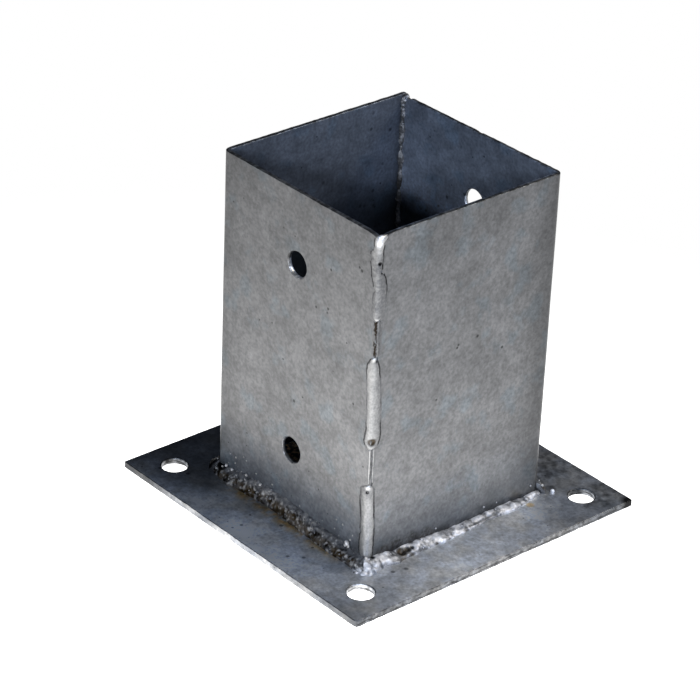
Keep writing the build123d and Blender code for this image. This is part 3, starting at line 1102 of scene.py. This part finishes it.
def make_root_bead():
    """Weld metal that came through inside the rear corner, with a blob over the rim."""
    bead = weld_mesh()
    low, high = box_mm("rear_seam_root_weld")
    bottom, top = low.z, high.z + 0.6
    rings = []
    for height in levels(bottom, top, BEAD_STEP):
        cap = smooth_step(min(height - bottom, top - height) / 1.5)
        reach = (1.25 + 1.3 * grain((0, 0, height), 4, 91)) * (0.3 + 0.7 * cap)
        pale = 0.2 * smooth_step(2.2 - abs(height - 143.5) / 2)
        # painted shade: the bead darkens below 116 mm, like the tube's inside walls
        pale += 0.2 * smooth_step((134 - height) / 6) - 0.25 * smooth_step((116 - height) / 6)
        ring = []
        for turn in np.linspace(-20, 110, 14):
            angle = math.radians(turn)
            out = Vector((math.cos(angle), -math.sin(angle), 0))
            at = Vector((-HALF_IN, HALF_IN, height)) + out * reach
            push = 0.45 * grain(at, 2.2, 92) + 0.3 * grain(at, 1.0, 93)
            at += out * push * cap
            ring.append((at, max(0.3, 0.38 + pale + 0.9 * push), 0.08 + 0.2 * grain(at, 6, 94)))
        ring.append((Vector((-HALF_IN - 1.0, HALF_IN + 1.0, height)), 0.4, 0.0))
        rings.append(ring)
    add_loft(bead, rings)
    for x, y, z, size, tone in RIM_BLOB:
        add_droplet(bead, Vector((x, y, z)), size, tone, z)
    finish_bead("rear_root_bead", bead, BASE_METAL, "rear_seam_root_weld")


make_plate()
make_angle("angle_left", "socket_angle_left", False, 11,
           ((0, TALL, 4.5, 0.8), (60, TALL, 1.5, 0.15), (34, TALL, 1.2, 0.15)))
make_angle("angle_right", "socket_angle_right", True, 17,
           ((47.4, TALL, 1.2, 0.4), (4.2, TALL, 1.2, 0.9), (BLANK_RUN, TALL, 3, 0.6)))
make_seam("front", 0, 61)
make_seam("rear", 180, 171)
make_base_beads()
make_root_bead()


# ---- stage, light and camera
FLOOR_HALF = 4
FLOOR_DROP = 0.0003  # keeps the floor just clear of the plate
SOFTBOX_AIM = Vector((0, 0, 0.07))
SOFTBOX_DISTANCE = 1
SOFTBOXES = (  # name, azimuth, elevation, width, height, watts, colour
    ("softbox_front", 28, 23, 0.18, 0.16, 3.3, (0.87, 0.98, 1.17)),
    ("softbox_camera", 47, 21, 0.14, 0.12, 2.2, (0.87, 0.98, 1.17)),
    ("softbox_right", 98.5, 40, 0.22, 0.22, 5, (0.82, 0.98, 1.28)),
    ("softbox_side", 135, 34, 0.3, 0.24, 2.1, (1, 1, 1)),
    ("softbox_back", 150, 48, 0.3, 0.24, 2.6, (1.1, 1, 0.8)),
)
CAMERA_TARGET = Vector((-29.4, 7.8, 49.2)) * MM
CAMERA_AZIMUTH, CAMERA_ELEVATION, CAMERA_ROLL = 48.582, 28.924, 2.467
CAMERA_DISTANCE = 1291.5 * MM
CAMERA_LENS, CAMERA_SENSOR = 159.58, 36


def add_floor():
    """A lit white floor, brightest in front of the part."""
    mesh = bpy.data.meshes.new("floor")
    half = FLOOR_HALF
    mesh.from_pydata([(-half, -half, 0), (half, -half, 0), (half, half, 0), (-half, half, 0)],
                     [], [(0, 1, 2, 3)])
    recipe = Recipe("pale_floor")
    away = recipe.vector("DISTANCE", recipe.mm, (70.0, -130.0, 0.0))
    fall = recipe.ramp(away, 60.0, 420.0, 1.0, 0.0)
    glow = recipe.new("Emission")
    strength = recipe.calc("ADD", recipe.product(fall, fall, 2.6), 1.0)
    recipe.feed(glow.inputs["Strength"], strength)
    recipe.feed(recipe.tree.nodes["Material Output"].inputs[0], glow.outputs[0])
    mesh.materials.append(recipe.material)
    floor = add_object("floor", mesh)
    floor.location.z = -FLOOR_DROP


def add_softbox(name, azimuth, elevation, width, height, watts, colour):
    """A rectangular light that faces the part."""
    out = direction(azimuth, elevation)
    data = bpy.data.lights.new(name, "AREA")
    data.shape, data.size, data.size_y = "RECTANGLE", width, height
    data.energy, data.color = watts, colour
    facing = out.to_track_quat("Z", "Y").to_matrix().to_4x4()
    place = Matrix.Translation(SOFTBOX_AIM + out * SOFTBOX_DISTANCE)
    add_object(name, data).matrix_world = place @ facing


def add_world():
    """A dim bluish room."""
    world = bpy.data.worlds.new("dim_room")
    world.use_nodes = True
    shader = world.node_tree.nodes["Background"]
    shader.inputs["Color"].default_value = (0.008, 0.011, 0.017, 1)
    bpy.context.scene.world = world


def add_camera():
    """The camera, looking down on the front seam."""
    out = direction(CAMERA_AZIMUTH, CAMERA_ELEVATION)
    data = bpy.data.cameras.new("camera")
    data.lens, data.sensor_width = CAMERA_LENS, CAMERA_SENSOR
    data.clip_start, data.clip_end = 0.05, 50.0
    camera = add_object("camera", data)
    place = Matrix.Translation(CAMERA_TARGET + out * CAMERA_DISTANCE)
    facing = (-out).to_track_quat("-Z", "Y").to_matrix().to_4x4()
    roll = Matrix.Rotation(math.radians(CAMERA_ROLL), 4, "Z")
    camera.matrix_world = place @ facing @ roll
    bpy.context.scene.camera = camera


add_floor()
add_world()
add_camera()
for softbox in SOFTBOXES:
    add_softbox(*softbox)
bpy.context.scene.view_settings.view_transform = "Standard"
